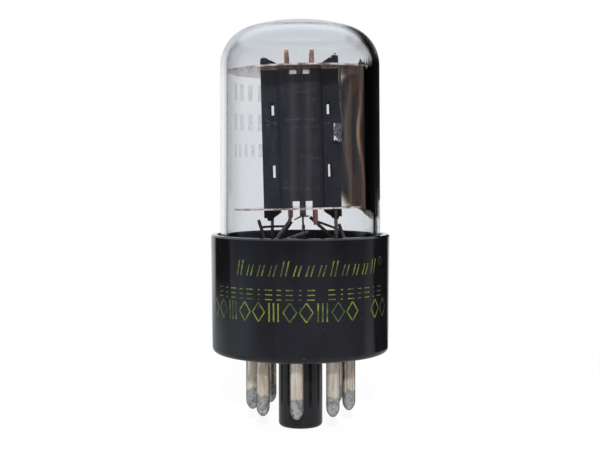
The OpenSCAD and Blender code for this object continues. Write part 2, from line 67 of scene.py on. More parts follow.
# heights on the getter film in millimetres: level with the getter, its lower and its upper edge
film_mid = (getter_low.z + getter_high.z) / 2 / MM
film_low = film_box_low.z / MM + 1.9
film_top = film_box_high.z / MM - 0.3


# ---------------------------------------------------------------- material helpers

class Paint:
    """A node material under construction, or the node tree that is given."""

    def __init__(self, name, tree=None):
        if tree:
            self.tree = tree
            return
        self.mat = bpy.data.materials.new(name)
        self.mat.use_nodes = True
        self.tree = self.mat.node_tree
        self.tree.nodes.clear()
        self.out = self.add("ShaderNodeOutputMaterial")
        self.where = self.add("ShaderNodeNewGeometry").outputs["Position"]

    def add(self, kind, **settings):
        node = self.tree.nodes.new(kind)
        for key, value in settings.items():
            setattr(node, key, value)
        return node

    def put(self, socket, value):
        """Feeds a socket from another socket, or sets its plain value."""
        if isinstance(value, bpy.types.NodeSocket):
            self.tree.links.new(value, socket)
        elif isinstance(value, (tuple, list)) and len(value) == 3 and socket.type == "RGBA":
            socket.default_value = (*value, 1)
        else:
            socket.default_value = value

    def math(self, operation, a, b=0.0, c=0.0, clamp=False):
        node = self.add("ShaderNodeMath", operation=operation, use_clamp=clamp)
        for socket, value in zip(node.inputs, (a, b, c)):
            self.put(socket, value)
        return node.outputs[0]

    def scaled(self, amounts, source=None):
        node = self.add("ShaderNodeVectorMath", operation="MULTIPLY")
        self.put(node.inputs[0], source or self.where)
        node.inputs[1].default_value = amounts
        return node.outputs[0]

    def xyz(self, source=None):
        node = self.add("ShaderNodeSeparateXYZ")
        self.put(node.inputs[0], source or self.where)
        return node.outputs

    def noise(self, scale, detail=3.0, rough=0.55, stretch=(1, 1, 1), distortion=0.0):
        """Noise over the object's metres. Scale is in features per metre before the stretch."""
        node = self.add("ShaderNodeTexNoise")
        self.put(node.inputs["Vector"], self.scaled(stretch))
        self.put(node.inputs["Scale"], scale)
        self.put(node.inputs["Detail"], detail)
        self.put(node.inputs["Roughness"], rough)
        self.put(node.inputs["Distortion"], distortion)
        return node.outputs["Fac"]

    def specks(self, scale, reach, strength):
        """Scattered round specks: the strength at each one's middle, 0 from its reach outwards."""
        node = self.add("ShaderNodeTexVoronoi", feature="F1")
        self.put(node.inputs["Vector"], self.scaled((1, 1, 1)))
        self.put(node.inputs["Scale"], scale)
        return self.ramp(node.outputs["Distance"], [(0.0, strength), (reach, 0.0)])

    def ramp(self, fac, stops, smooth=True):
        """A colour or grey ramp. Each stop is (position, colour or grey)."""
        node = self.add("ShaderNodeValToRGB")
        node.color_ramp.interpolation = "EASE" if smooth else "LINEAR"
        elements = node.color_ramp.elements
        while len(elements) < len(stops):
            elements.new(0.5)
        for element, (place, colour) in zip(elements, stops):
            element.position = place
            grey = isinstance(colour, (int, float))
            element.color = (colour, colour, colour, 1) if grey else (*colour, 1)
        self.put(node.inputs[0], fac)
        return node.outputs[0]

    def rise(self, fac, low, high, top=1.0):
        """A ramp from 0 at low to top at high."""
        return self.ramp(fac, [(low, 0.0), (high, top)])

    def mix(self, fac, a, b, blend="MIX"):
        node = self.add("ShaderNodeMix", data_type="RGBA", blend_type=blend)
        self.put(node.inputs["Factor"], fac)
        colour_inputs = [s for s in node.inputs if s.type == "RGBA"]
        self.put(colour_inputs[0], a)
        self.put(colour_inputs[1], b)
        return [s for s in node.outputs if s.type == "RGBA"][0]

    def smooth(self, low, high, value):
        """0 below low, 1 above high and a soft step between them."""
        node = self.add("ShaderNodeMapRange", interpolation_type="SMOOTHSTEP")
        self.put(node.inputs["Value"], value)
        self.put(node.inputs["From Min"], low)
        self.put(node.inputs["From Max"], high)
        return node.outputs["Result"]

    def times(self, *factors):
        product = factors[0]
        for factor in factors[1:]:
            product = self.math("MULTIPLY", product, factor)
        return product

    def hill(self, value, centre, width):
        """A bell of height 1 round a centre."""
        away = self.math("DIVIDE", self.math("SUBTRACT", value, centre), width)
        return self.math("EXPONENT", self.times(away, away, -1.0))

    def turn(self, x, y):
        """Direction round the tube in degrees: 0 towards the camera, positive to the right."""
        return self.math("MULTIPLY", self.math("ARCTAN2", x, self.math("MULTIPLY", y, -1.0)), 360 / TAU)

    def radius(self, x, y):
        """Distance from the tube's axis."""
        squares = self.math("ADD", self.math("MULTIPLY", x, x), self.math("MULTIPLY", y, y))
        return self.math("POWER", squares, 0.5)

    def bump(self, height, strength, distance):
        node = self.add("ShaderNodeBump")
        self.put(node.inputs["Height"], height)
        self.put(node.inputs["Strength"], strength)
        self.put(node.inputs["Distance"], distance)
        return node.outputs["Normal"]

    def surface(self, **inputs):
        """A Principled surface as the material's output. Names use _ for spaces."""
        node = self.add("ShaderNodeBsdfPrincipled")
        for key, value in inputs.items():
            self.put(node.inputs[key.replace("_", " ")], value)
        return node.outputs[0]

    def see_through(self, colour):
        node = self.add("ShaderNodeBsdfTransparent")
        self.put(node.inputs["Color"], colour)
        return node.outputs[0]

    def glow(self, colour=(1.0, 1.0, 1.0)):
        node = self.add("ShaderNodeEmission")
        self.put(node.inputs["Color"], colour)
        return node.outputs[0]

    def blend(self, fac, first, second):
        """A mix of two shaders: the first where fac is 0, the second where it is 1."""
        node = self.add("ShaderNodeMixShader")
        for socket, value in zip(node.inputs, (fac, first, second)):
            self.put(socket, value)
        return node.outputs[0]

    def soft_light(self):
        """1 for the rays that carry lamp light past a thin sheet: shadow rays and diffuse rays."""
        path = self.add("ShaderNodeLightPath").outputs
        return self.math("MAXIMUM", path["Is Shadow Ray"], path["Is Diffuse Ray"])

    def finish(self, shader):
        self.put(self.out.inputs["Surface"], shader)
        return self.mat


# ---------------------------------------------------------------- materials

def phenolic_black():
    """Glossy moulded phenolic with faint flow marks, handling scuffs and a few specks of dust."""
    p = Paint("phenolic_black")
    flow = p.noise(170, 3, 0.55, (1, 1, 0.3))
    scuff = p.noise(750, 3, 0.65, (1, 1, 5))
    hatch = p.noise(2600, 2, 0.6, (1, 0.3, 0.25), 1.5)
    dust = p.specks(520, 0.045, 1.0)
    colour = p.mix(p.rise(flow, 0.35, 0.7), (0.0030, 0.0030, 0.0036), (0.0060, 0.0062, 0.0078))
    colour = p.mix(dust, colour, (0.16, 0.16, 0.17))
    rough = p.math("ADD", p.ramp(scuff, [(0.35, 0.05), (0.8, 0.13)]), p.math("MULTIPLY", flow, 0.06))
    height = p.math("ADD", flow, p.math("MULTIPLY", hatch, 0.05))
    normal = p.bump(height, 0.05, 0.0004)
    return p.finish(p.surface(Base_Color=colour, Roughness=rough, Normal=normal, Specular_IOR_Level=0.48))


def ink_olive():
    """Yellow-green printing ink, thin and worn in places."""
    p = Paint("ink_olive")
    wear = p.noise(2600, 3, 0.7)
    thin = p.noise(300, 2, 0.5)
    colour = p.mix(p.rise(thin, 0.38, 0.62), (0.030, 0.045, 0.012), (0.105, 0.125, 0.016))
    colour = p.mix(p.rise(wear, 0.5, 0.66, 0.85), colour, (0.010, 0.014, 0.006))
    return p.finish(p.surface(Base_Color=colour, Roughness=p.ramp(wear, [(0.3, 0.3), (0.8, 0.5)])))


def worn_metal(name, light, dark, rough, stretch=(1, 1, 0.15), grain=1500, tarnish=None, bump=0.15,
               metallic=1.0):
    """Drawn or plated metal with fine streaks along its length and patches of tarnish."""
    p = Paint(name)
    streak = p.noise(grain, 4, 0.65, stretch)
    patch = p.noise(420, 3, 0.6)
    fine = p.noise(grain * 4, 2, 0.6)
    colour = p.mix(p.rise(streak, 0.3, 0.72), dark, light)
    if tarnish:
        colour = p.mix(p.rise(patch, 0.46, 0.68, 0.85), colour, tarnish)
    roughness = p.ramp(patch, [(0.3, rough[0]), (0.75, rough[1])])
    height = p.math("ADD", p.math("MULTIPLY", streak, 0.7), p.math("MULTIPLY", fine, 0.3))
    normal = p.bump(height, bump, 0.00006)
    return p.finish(p.surface(Base_Color=colour, Metallic=metallic, Roughness=roughness, Normal=normal))


def pin_nickel():
    """Worn nickel plating on a pin, drawn along it, with a dull tinned end, and painted shade at its edges
    and where it is hemmed in.
    """
    p = Paint("pin_nickel")
    tinned_from = -7.3  # millimetres from the seating plane
    streak = p.noise(1900, 4, 0.65, (1, 1, 0.07))
    patch = p.noise(430, 3, 0.6, (1, 1, 0.35))
    fine = p.noise(5200, 2, 0.6)
    pit = p.noise(1300, 4, 0.7)
    ragged = p.math("MULTIPLY", p.math("SUBTRACT", p.noise(520, 3, 0.6, (1, 1, 0.25)), 0.5), 3.4)
    above = p.math("SUBTRACT", p.math("DIVIDE", p.xyz()[2], MM), p.math("ADD", ragged, tinned_from))
    tinned = p.smooth(0.25, -0.25, above)
    bright = p.mix(p.rise(streak, 0.3, 0.7), (0.56, 0.48, 0.38), (0.97, 0.89, 0.76))
    bright = p.mix(p.rise(patch, 0.5, 0.7, 0.7), bright, (0.48, 0.37, 0.26))
    dull = p.mix(p.rise(pit, 0.3, 0.6), (0.15, 0.15, 0.15), (0.54, 0.54, 0.54))
    colour = p.mix(tinned, bright, dull)
    colour = p.mix(p.math("MULTIPLY", p.hill(above, 0.0, 0.2), 0.4), colour, (0.12, 0.11, 0.10))
    shade = p.add("ShaderNodeAmbientOcclusion", samples=8)
    shade.inputs["Distance"].default_value = 5 * MM
    # painted shade: the pin turns dark brown towards its edges as seen
    painted_edge_shade = p.smooth(0.30, 0.72, p.add("ShaderNodeLayerWeight").outputs["Facing"])
    colour = p.mix(p.math("MULTIPLY", painted_edge_shade, 0.75), colour, (0.10, 0.075, 0.055))
    # painted shade: darker where ambient occlusion finds the base, the post or the other pins close by
    painted_ao_shade = p.smooth(0.6, 0.15, shade.outputs["AO"])
    colour = p.mix(painted_ao_shade, colour, (0.05, 0.042, 0.035))
    rough = p.math("MULTIPLY_ADD", tinned, 0.22, p.ramp(patch, [(0.3, 0.2), (0.75, 0.34)]))
    grain = p.mix(tinned, fine, pit)
    height = p.math("ADD", p.math("MULTIPLY", streak, 0.6), p.math("MULTIPLY", grain, 0.8))
    return p.finish(p.surface(Base_Color=colour, Metallic=0.85, Roughness=rough,
                              Normal=p.bump(height, 0.3, 0.00008)))


def carbonised_sheet():
    """Matt carbonised nickel: bluish charcoal with faint upright bands of painted sheen, creases, dust and
    nicks.
    """
    p = Paint("carbonised_sheet")
    x, _, z = p.xyz()
    # painted reflection: two soft brownish upright bands of sheen on the face
    left = p.hill(x, -1.25 * MM, 0.55 * MM)
    right = p.hill(x, 1.45 * MM, 0.5 * MM)
    painted_sheen_band = p.math("ADD", p.math("MULTIPLY", left, 0.8), p.math("MULTIPLY", right, 0.7), clamp=True)
    grain = p.noise(5200, 3, 0.7)
    cloud = p.noise(300, 3, 0.6)
    rub = p.noise(1500, 4, 0.7, (1, 1, 0.12))
    crease = p.noise(330, 2, 0.6, (0.12, 0.12, 1))
    nick = p.specks(640, 0.06, 0.9)
    colour = p.mix(p.rise(cloud, 0.3, 0.7), (0.0055, 0.0058, 0.0077), (0.0102, 0.0107, 0.0140))
    colour = p.mix(p.math("MULTIPLY", painted_sheen_band, 0.85), colour, (0.030, 0.024, 0.024))
    colour = p.mix(p.rise(rub, 0.55, 0.75, 0.45), colour, (0.030, 0.030, 0.035))
    colour = p.mix(nick, colour, (0.42, 0.42, 0.44))
    # faint pale lines across the sheet: height in millimetres, and how far each one bows
    for level, sag in ((46.1, 0.05), (41.4, -0.03), (39.9, 0.04), (35.0, -0.05), (29.3, 0.03)):
        arc = p.math("MULTIPLY_ADD", p.math("MULTIPLY", x, x), sag / MM, level * MM)
        line = p.times(p.hill(p.math("SUBTRACT", z, arc), 0.0, 0.07 * MM), p.smooth(0.45, 0.6, rub))
        colour = p.mix(p.math("MULTIPLY", line, 0.28), colour, (0.16, 0.16, 0.175))
    height = p.math("ADD", p.math("MULTIPLY", crease, 0.8), p.math("MULTIPLY", grain, 0.2))
    rough = p.ramp(cloud, [(0.3, 0.45), (0.7, 0.62)])
    return p.finish(p.surface(Base_Color=colour, Roughness=rough,
                              Normal=p.bump(height, 0.3, 0.0001), Specular_IOR_Level=0.1))


def sheet_mica():
    """Sheet mica: see-through and flaky, brown at its cut edges, a mirror at low angles."""
    p = Paint("sheet_mica")
    flake = p.noise(700, 4, 0.7)
    layer = p.noise(3000, 3, 0.6, (1, 1, 4))
    stain = p.noise(240, 3, 0.6)
    colour = p.mix(p.rise(flake, 0.3, 0.7), (0.64, 0.59, 0.57), (0.84, 0.80, 0.78))
    colour = p.mix(p.rise(stain, 0.5, 0.75, 0.5), colour, (0.52, 0.42, 0.37))
    x, y, _ = p.xyz()
    teeth = p.smooth(mica_r - 0.30 * MM, mica_r - 0.12 * MM, p.radius(x, y))
    upright = p.math("ABSOLUTE", p.xyz(p.add("ShaderNodeNewGeometry").outputs["True Normal"])[2])
    cut = p.math("MAXIMUM", p.smooth(0.6, 0.3, upright), teeth)
    brown = p.mix(p.rise(flake, 0.35, 0.6), (0.09, 0.07, 0.06), (0.42, 0.36, 0.34))
    rough = p.ramp(layer, [(0.3, 0.22), (0.7, 0.45)])
    body = p.surface(Base_Color=p.mix(cut, colour, brown), Roughness=rough,
                     Normal=p.bump(layer, 0.3, 0.00008), Specular_IOR_Level=0.7)
    clear = p.see_through(p.mix(p.rise(stain, 0.4, 0.7), (0.90, 0.88, 0.87), (0.84, 0.79, 0.77)))
    # the lamps' light is held back more than the view through the sheet
    lit = p.soft_light()
    seen = p.math("MULTIPLY_ADD", lit, -0.45, p.ramp(flake, [(0.3, 0.86), (0.75, 0.74)]))
    uncut = p.math("SUBTRACT", 1.0, cut)
    sheet = p.blend(p.math("MULTIPLY", seen, uncut), body, clear)
    fresnel = p.add("ShaderNodeFresnel")
    fresnel.inputs["IOR"].default_value = 1.5
    sheen = p.add("ShaderNodeBsdfGlossy")
    p.put(sheen.inputs["Color"], (0.90, 0.86, 0.85))
    p.put(sheen.inputs["Roughness"], p.ramp(flake, [(0.3, 0.04), (0.75, 0.10)]))
    p.put(sheen.inputs["Normal"], p.bump(flake, 0.05, 0.0001))
    mirrored = p.times(fresnel.outputs[0], uncut, p.math("SUBTRACT", 1.0, lit))
    return p.finish(p.blend(mirrored, sheet, sheen.outputs[0]))


def getter_foil():
    """Crumpled silver foil with painted glints on its folds: white matt patches where the metal gives way.
    """
    p = Paint("getter_foil")
    fold = p.noise(1500, 3, 0.6, (1, 1, 0.6))
    fine = p.noise(5200, 2, 0.6)
    # painted highlight: matt white patches on the folds stand in for the lamp's glints
    painted_glint = p.rise(fold, 0.50, 0.60)
    colour = p.mix(p.rise(fine, 0.35, 0.65), (0.22, 0.21, 0.21), (0.62, 0.61, 0.60))
    colour = p.mix(painted_glint, colour, (0.92, 0.92, 0.92))
    return p.finish(p.surface(Base_Color=colour, Metallic=p.math("MULTIPLY_ADD", painted_glint, -0.7, 1.0),
                              Roughness=0.28, Normal=p.bump(fine, 0.6, 0.00008)))


def white_coating(name, tint):
    """Matt sprayed oxide."""
    p = Paint(name)
    grain = p.noise(6000, 3, 0.7)
    colour = p.mix(p.rise(grain, 0.3, 0.7), tuple(c * 0.88 for c in tint), tint)
    return p.finish(p.surface(Base_Color=colour, Roughness=0.85, Normal=p.bump(grain, 0.3, 0.00005)))


def resin_cement():
    """Granular brown basing cement."""
    p = Paint("resin_cement")
    grain = p.noise(1800, 4, 0.7)
    colour = p.mix(p.rise(grain, 0.3, 0.7), (0.16, 0.11, 0.07), (0.34, 0.26, 0.17))
    return p.finish(p.surface(Base_Color=colour, Roughness=0.8, Normal=p.bump(grain, 0.5, 0.0002)))


def tube_glass():
    """Clear glass that lets the lamps through, slightly grey at its edges and on the dome."""
    p = Paint("tube_glass")
    wave = p.noise(70, 2, 0.5, (1, 1, 0.5))
    dust = p.noise(2400, 2, 0.6)
    dome = p.smooth(0.80, 0.88, p.math("DIVIDE", p.xyz()[2], crown_z))  # by share of the bulb's height
    tint = p.mix(p.rise(wave, 0.3, 0.7), (0.93, 0.94, 0.95), (0.95, 0.955, 0.96))
    tint = p.mix(dome, tint, (0.905, 0.915, 0.925))
    # only the first few surfaces darken a ray, so that the edges of the wall stay light
    depth = p.add("ShaderNodeLightPath").outputs["Ray Depth"]
    tint = p.mix(p.math("GREATER_THAN", depth, 3.5), tint, (1.0, 1.0, 1.0))
    glass = p.add("ShaderNodeBsdfGlass")
    p.put(glass.inputs["Color"], tint)
    p.put(glass.inputs["Roughness"], p.rise(dust, 0.7, 0.9, 0.02))
    glass.inputs["IOR"].default_value = 1.5
    p.put(glass.inputs["Normal"], p.bump(wave, 0.02, 0.0004))
    return p.finish(p.blend(p.soft_light(), glass.outputs[0], p.see_through((0.95, 0.95, 0.955))))


def film_mirror():
    """Getter film: a dark mirror, opaque in its middle and brown, then see-through, at its edges.

    Its thickness falls off round the bulb from a line level with the getter, which leaves a
    coloured crescent on the front edge. The micas shadow it above and below.
    """
    p = Paint("film_mirror")
    x, y, z = p.xyz()
    turn = p.turn(x, y)
    level = p.math("DIVIDE", z, MM)
    wisp = p.math("SUBTRACT", p.noise(330, 3, 0.6, (1, 1, 0.35)), 0.5)
    tooth = p.math("SUBTRACT", p.noise(900, 2, 0.6, (1, 1, 0.12)), 0.5)
    streaks = p.noise(520, 3, 0.6, (1, 1, 0.05))

    # the edges of the film, in degrees round the bulb or in millimetres of height
    front_edge = p.math("ADD", p.math("MULTIPLY_ADD", p.hill(level, film_mid, 5.2), -5.2, 53.2),
                        p.math("MULTIPLY", p.smooth(42.0, 46.0, level), -2.0))
    rear_edge = p.math("MULTIPLY_ADD", p.hill(level, 38.0, 7.0), 10.0, 151.0)
    rear_edge = p.math("MULTIPLY_ADD", p.smooth(30.0, 25.0, level), -12.0, rear_edge)
    rear_edge = p.math("MULTIPLY_ADD", p.smooth(47.0, 53.0, level), -14.0, rear_edge)
    side = p.hill(turn, 92.0, 26.0)
    top_edge = p.math("ADD", p.math("MULTIPLY_ADD", side, 2.4, film_top), p.math("MULTIPLY", tooth, 4.2))
    top_edge = p.math("MULTIPLY_ADD", p.smooth(104.0, 120.0, turn), 1.5, top_edge)
    low_edge = p.math("ADD", p.math("MULTIPLY_ADD", side, -2.2, film_low), p.math("MULTIPLY", wisp, 0.8))

    # how far inside each edge a point is
    front = p.math("SUBTRACT", turn, front_edge)
    rear = p.math("SUBTRACT", rear_edge, turn)
    top = p.math("SUBTRACT", top_edge, level)
    low = p.math("SUBTRACT", level, low_edge)

    # how much of the film there is: its body, a haze over the dome and the crescent's fringe
    blur = p.math("MULTIPLY_ADD", p.hill(level, film_mid, 7.5), 5.2, -6.5)
    body = p.times(p.smooth(blur, 0.9, p.math("MULTIPLY_ADD", wisp, 1.4, front)),
                   p.smooth(-6.0, 19.0, rear), p.smooth(-0.15, 0.3, top), p.smooth(-0.5, 0.4, low))
    haze = p.times(p.smooth(46.0, 64.0, turn), p.smooth(125.0, 100.0, turn), p.smooth(57.6, 56.9, level),
                   p.smooth(0.2, -0.2, top), p.math("MULTIPLY_ADD", p.smooth(53.0, 57.0, level), 0.18, 0.08))
    crescent = p.hill(level, film_mid, 5.4)
    fringe = p.times(p.smooth(-4.2, -2.4, front), p.smooth(1.6, 0.2, front), crescent,
                     p.smooth(0.0, 0.6, top))
    cover = p.math("MAXIMUM", p.math("MAXIMUM", body, haze), p.math("MULTIPLY", fringe, 0.85))

    # outside it is a silver mirror, inside it has brown arcs round the getter
    to_eye = p.xyz(p.add("ShaderNodeNewGeometry").outputs["Incoming"])
    outward = p.math("ADD", p.math("MULTIPLY", x, to_eye[0]), p.math("MULTIPLY", y, to_eye[1]))
    inner_side = p.math("LESS_THAN", outward, 0.0)
    bow = p.math("DIVIDE", p.math("SUBTRACT", level, film_mid), 9.0)
    bow = p.math("MULTIPLY", bow, bow)
    arc = p.math("MULTIPLY_ADD", p.math("MINIMUM", bow, 0.9), 7.0, turn)
    arc = p.math("MULTIPLY_ADD", wisp, 3.0, arc)
    first_arc, arc_width = 115, 36
    place = p.math("MULTIPLY_ADD", arc, 1 / arc_width, -first_arc / arc_width)
    arcs = p.ramp(place, [(0.0, (0.12, 0.06, 0.03)), (0.24, (0.26, 0.15, 0.085)),
                          (0.34, (0.16, 0.085, 0.05)), (0.42, (0.16, 0.07, 0.035)),
                          (0.52, (0.34, 0.17, 0.06)), (0.64, (0.42, 0.29, 0.16)),
                          (0.75, (0.06, 0.05, 0.045)), (1.0, (0.02, 0.02, 0.024))], False)
    ends = p.times(p.hill(place, 0.47, 0.14), p.smooth(0.5, 0.9, bow))
    arcs = p.mix(ends, arcs, (0.60, 0.24, 0.05))
    arcs = p.mix(p.rise(streaks, 0.32, 0.66, 0.3), arcs, (0.09, 0.08, 0.07))
    silver = p.mix(p.smooth(4.0, 10.0, front), (0.045, 0.028, 0.020), (0.30, 0.295, 0.29))
    tone = p.mix(inner_side, silver, arcs)
    rainbow_start, rainbow_width = -4.2, 7.0
    step = p.math("MULTIPLY_ADD", front, 1 / rainbow_width, -rainbow_start / rainbow_width)
    rainbow = p.ramp(step, [(0.0, (0.13, 0.12, 0.11)), (0.22, (0.05, 0.065, 0.11)),
                            (0.38, (0.12, 0.10, 0.075)), (0.50, (0.24, 0.10, 0.02)),
                            (0.62, (0.12, 0.03, 0.008)), (0.74, (0.02, 0.012, 0.008)),
                            (1.0, (0.045, 0.028, 0.020))], False)
    coloured = p.times(p.smooth(-4.4, -3.0, front), p.smooth(2.6, 1.0, front), crescent)
    rough = p.math("MULTIPLY_ADD", inner_side, 0.1, p.ramp(streaks, [(0.3, 0.03), (0.7, 0.09)]))
    metal = p.surface(Base_Color=p.mix(coloured, tone, rainbow), Metallic=p.smooth(1.0, 3.0, front),
                      Specular_IOR_Level=0.25, Roughness=rough)

    # where it is thin, the film passes brown light
    thick = p.math("MULTIPLY", p.math("MULTIPLY", cover, cover), 4.0)
    passed = p.add("ShaderNodeCombineColor")
    for channel, loss in zip(("Red", "Green", "Blue"), (0.85, 1.1, 1.45)):
        p.put(passed.inputs[channel], p.math("EXPONENT", p.math("MULTIPLY", thick, -loss)))
    opaque = p.math("SUBTRACT", 1.0, p.math("EXPONENT", p.math("MULTIPLY", thick, -1.0)))
    return p.finish(p.blend(opaque, p.see_through(passed.outputs[0]), metal))


MATERIALS = {
    "phenolic": phenolic_black(),
    "pin_metal": pin_nickel(),
    "solder": worn_metal("tinned_solder", (0.52, 0.52, 0.52), (0.34, 0.34, 0.34), (0.34, 0.5),
                         stretch=(1, 1, 0.8), grain=1200, bump=0.4),
    "cement": resin_cement(),
    "glass": tube_glass(),
    "getter_film": film_mirror(),
    "nickel": worn_metal("drawn_nickel", (0.42, 0.38, 0.33), (0.15, 0.135, 0.12), (0.3, 0.5),
                         tarnish=(0.09, 0.07, 0.06), metallic=0.92),
    "dark_wire": worn_metal("dark_wire", (0.15, 0.14, 0.14), (0.05, 0.045, 0.045), (0.35, 0.55)),
    "mica": sheet_mica(),
    "carbonised_plate": carbonised_sheet(),
    "copper": worn_metal("drawn_copper", (0.97, 0.53, 0.40), (0.58, 0.25, 0.17), (0.2, 0.36),
                         tarnish=(0.36, 0.19, 0.15), metallic=0.85),
    "grid_wire": worn_metal("grid_wire", (0.5, 0.46, 0.4), (0.3, 0.26, 0.22), (0.25, 0.4)),
    "oxide_coating": white_coating("oxide_coating", (0.80, 0.79, 0.76)),
    "heater_coating": white_coating("heater_coating", (0.82, 0.81, 0.78)),
    "getter_metal": getter_foil(),
}

slot_of = {part["node"]: part["material_slot"] for part in frame["record"]["subparts"]}
for name, obj in nodes.items():
    obj.data.materials.clear()
    obj.data.materials.append(MATERIALS[slot_of[name]])


# ---------------------------------------------------------------- pieces

def piece(name, bm, material, smooth=True, replaced=()):
    """Turns a bmesh in the row frame into a piece that rides on the tube."""
    mesh = bpy.data.meshes.new(name)
    bm.normal_update()
    bm.to_mesh(mesh)
    bm.free()
    mesh.materials.append(material)
    mesh.polygons.foreach_set("use_smooth", [smooth] * len(mesh.polygons))
    obj = bpy.data.objects.new(name, mesh)
    bpy.context.scene.collection.objects.link(obj)
    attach(obj, "root")
    if replaced:
        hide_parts(*replaced)
    return obj


def round_dir(degrees):
    """The direction this far round from the front towards +X."""
    turn = math.radians(degrees)
    return Vector((math.sin(turn), -math.cos(turn), 0))


def grid_faces(bm, rows):
    """Quads between neighbouring rows of vertices."""
    for upper, lower in zip(rows, rows[1:]):
        for k in range(len(upper) - 1):
            bm.faces.new((upper[k], upper[k + 1], lower[k + 1], lower[k]))


def hit(node, start, direction):
    """Where a ray from start first meets a CAD node."""
    found, place, _, _ = nodes[node].ray_cast(start, direction)
    assert found, (node, start, direction)
    return place


def film_piece():
    """The getter film, laid on the inside of the glass from the lower mica up on to the dome."""
    heart = Vector((0, 0, 40 * MM))
    bite = 0.02 * MM  # into the glass, so that no gap mirrors at the edge of the bulb
    first_rise, last_rise, rises = -54.5, 62.5, 120  # degrees above level, seen from the heart
    first_turn, turn_step, turns = 40, 1.14, 100  # degrees round from the front
    bm = bmesh.new()
    rows = []
    for i in range(rises + 1):
        rise = math.radians(first_rise + i * (last_rise - first_rise) / rises)
        row = []
        for k in range(turns + 1):
            aim = round_dir(first_turn + k * turn_step) * math.cos(rise) + Vector((0, 0, math.sin(rise)))
            row.append(bm.verts.new(hit("glass_bulb", heart, aim) + aim * bite))
        rows.append(row)
    grid_faces(bm, rows)
    return piece("getter_mirror", bm, MATERIALS["getter_film"], True, ["getter_film"])


def wall_radius(node):
    """A function from a height to the outside radius of a round node, by a ray cast inwards."""
    def at(z):
        return -hit(node, Vector((0, -30 * MM, z)), Vector((0, 1, 0))).y
    return at


def wrapped_mark(bm, radius_at, turn, z, wide, high, lift, slant=0.0, steps=6):
    """One rectangular mark on a round wall, centred at a direction and a height."""
    rows = []
    for j in range(3):
        level = z + high * (j / 2 - 0.5)
        r = radius_at(level) + lift
        lean = slant * (j / 2 - 0.5)
        row = []
        for k in range(steps + 1):
            angle = turn + math.degrees((wide * (k / steps - 0.5) + lean) / r)
            row.append(bm.verts.new(round_dir(angle) * r + Vector((0, 0, level))))
        rows.append(row)
    grid_faces(bm, rows)


def base_marks():
    """Three rows of plain ink marks round the front of the base: hatching, dashes and diamonds.

    Places and sizes are in millimetres along the wall and up it.
    """
    bm = bmesh.new()
    lift = 0.012 * MM
    radius_at = wall_radius("base_shell")
    degrees_per_mm = 360 / (TAU * rim_r / MM)

    def mark(x, z, wide, high, slant=0.0):
        wrapped_mark(bm, radius_at, x * degrees_per_mm, z * MM, wide * MM, high * MM, lift, slant * MM)

    def diamond(x, z, wide, high, line):
        """A hollow diamond: four slanted bars."""
        for side, level in ((-1, -1), (1, -1), (-1, 1), (1, 1)):
            mark(x + side * wide / 4, z + level * high / 4, line, high / 2, -side * level * wide / 2)

    hatch_start, hatch_pitch, hatch_low = -11.5, 2.12, 14.8
    for k in range(13):
        tall = 2.6 if k % 4 == 0 else 1.9
        for twin in (0, 0.8):
            mark(hatch_start + hatch_pitch * k + twin, hatch_low + tall / 2, 0.22, tall, 0.6)
    diamond(16.6, 16.9, 1.3, 1.5, 0.16)

    dash_start, dash_pitch, dash_mid, dash_gap = -16.4, 1.82, 11.7, 11
    dash_widths = (1.3, 0.4, 1.3, 0.8)
    for k in range(19):
        if k != dash_gap:
            for level in (-0.8, 0, 0.8):
                mark(dash_start + dash_pitch * k, dash_mid + level, dash_widths[k % 4], 0.18)

    large_start, large_pitch, large_mid, large_gap = -18.6, 2.8, 8.75, 11
    for k in range(14):
        x = large_start + large_pitch * k
        if k == large_gap:
            continue
        if k % 3 == 2:
            for twin in (-0.8, 0, 0.8):
                mark(x + twin, large_mid, 0.25, 3.2)
        else:
            diamond(x, large_mid, 2.3, 3.3, 0.27)
    return piece("base_ink_marks", bm, ink_olive(), False)


def faint_print():
    """Pale worn print on glass."""
    p = Paint("glass_etch")
    wear = p.noise(2100, 3, 0.7)
    return p.finish(p.surface(Base_Color=p.mix(wear, (0.10, 0.10, 0.11), (0.18, 0.18, 0.19)),
                              Roughness=0.7, Alpha=p.ramp(wear, [(0.36, 0.10), (0.62, 0.30)])))


def glass_marks():
    """Faint plain bars on the rear left of the bulb, seen through the glass."""
    bm = bmesh.new()
    lift = 0.01 * MM
    first_turn, last_turn = 246, 214  # degrees round from the front
    radius_at = wall_radius("glass_bulb")
    # each row's height, and its bars' height, number and width, in millimetres
    for z, high, count, wide in ((46.9, 3.1, 4, 1.3), (41.4, 3.1, 4, 1.3), (36.2, 2.5, 5, 0.9)):
        for k in range(count):
            turn = first_turn + (last_turn - first_turn) * k / (count - 1)
            wrapped_mark(bm, radius_at, turn, z * MM, wide * MM, high * MM, lift, steps=3)
    return piece("glass_print_bars", bm, faint_print(), False)


def crumpled_getter():
    """The getter trough: a crumpled bright strip folded into a shallow box."""
    centre, size = (getter_low + getter_high) / 2, getter_high - getter_low
    shrink = 0.97  # leaves room for the folds inside the trough's own box
    bm = bmesh.new()
    bmesh.ops.create_cube(bm, size=1.0)
    bmesh.ops.subdivide_edges(bm, edges=bm.edges[:], cuts=11, use_grid_fill=True)
    for v in bm.verts:
        v.co = v.co * size * shrink + centre
    bm.normal_update()
    for v in bm.verts:
        fold = noise.noise(v.co * 1900) * 0.16 + noise.noise(v.co * 5200) * 0.07
        v.co += v.normal * fold * MM
    return piece("getter_strip", bm, MATERIALS["getter_metal"], False, ["getter_trough"])


film_piece()
base_marks()
glass_marks()
crumpled_getter()


# ---------------------------------------------------------------- studio

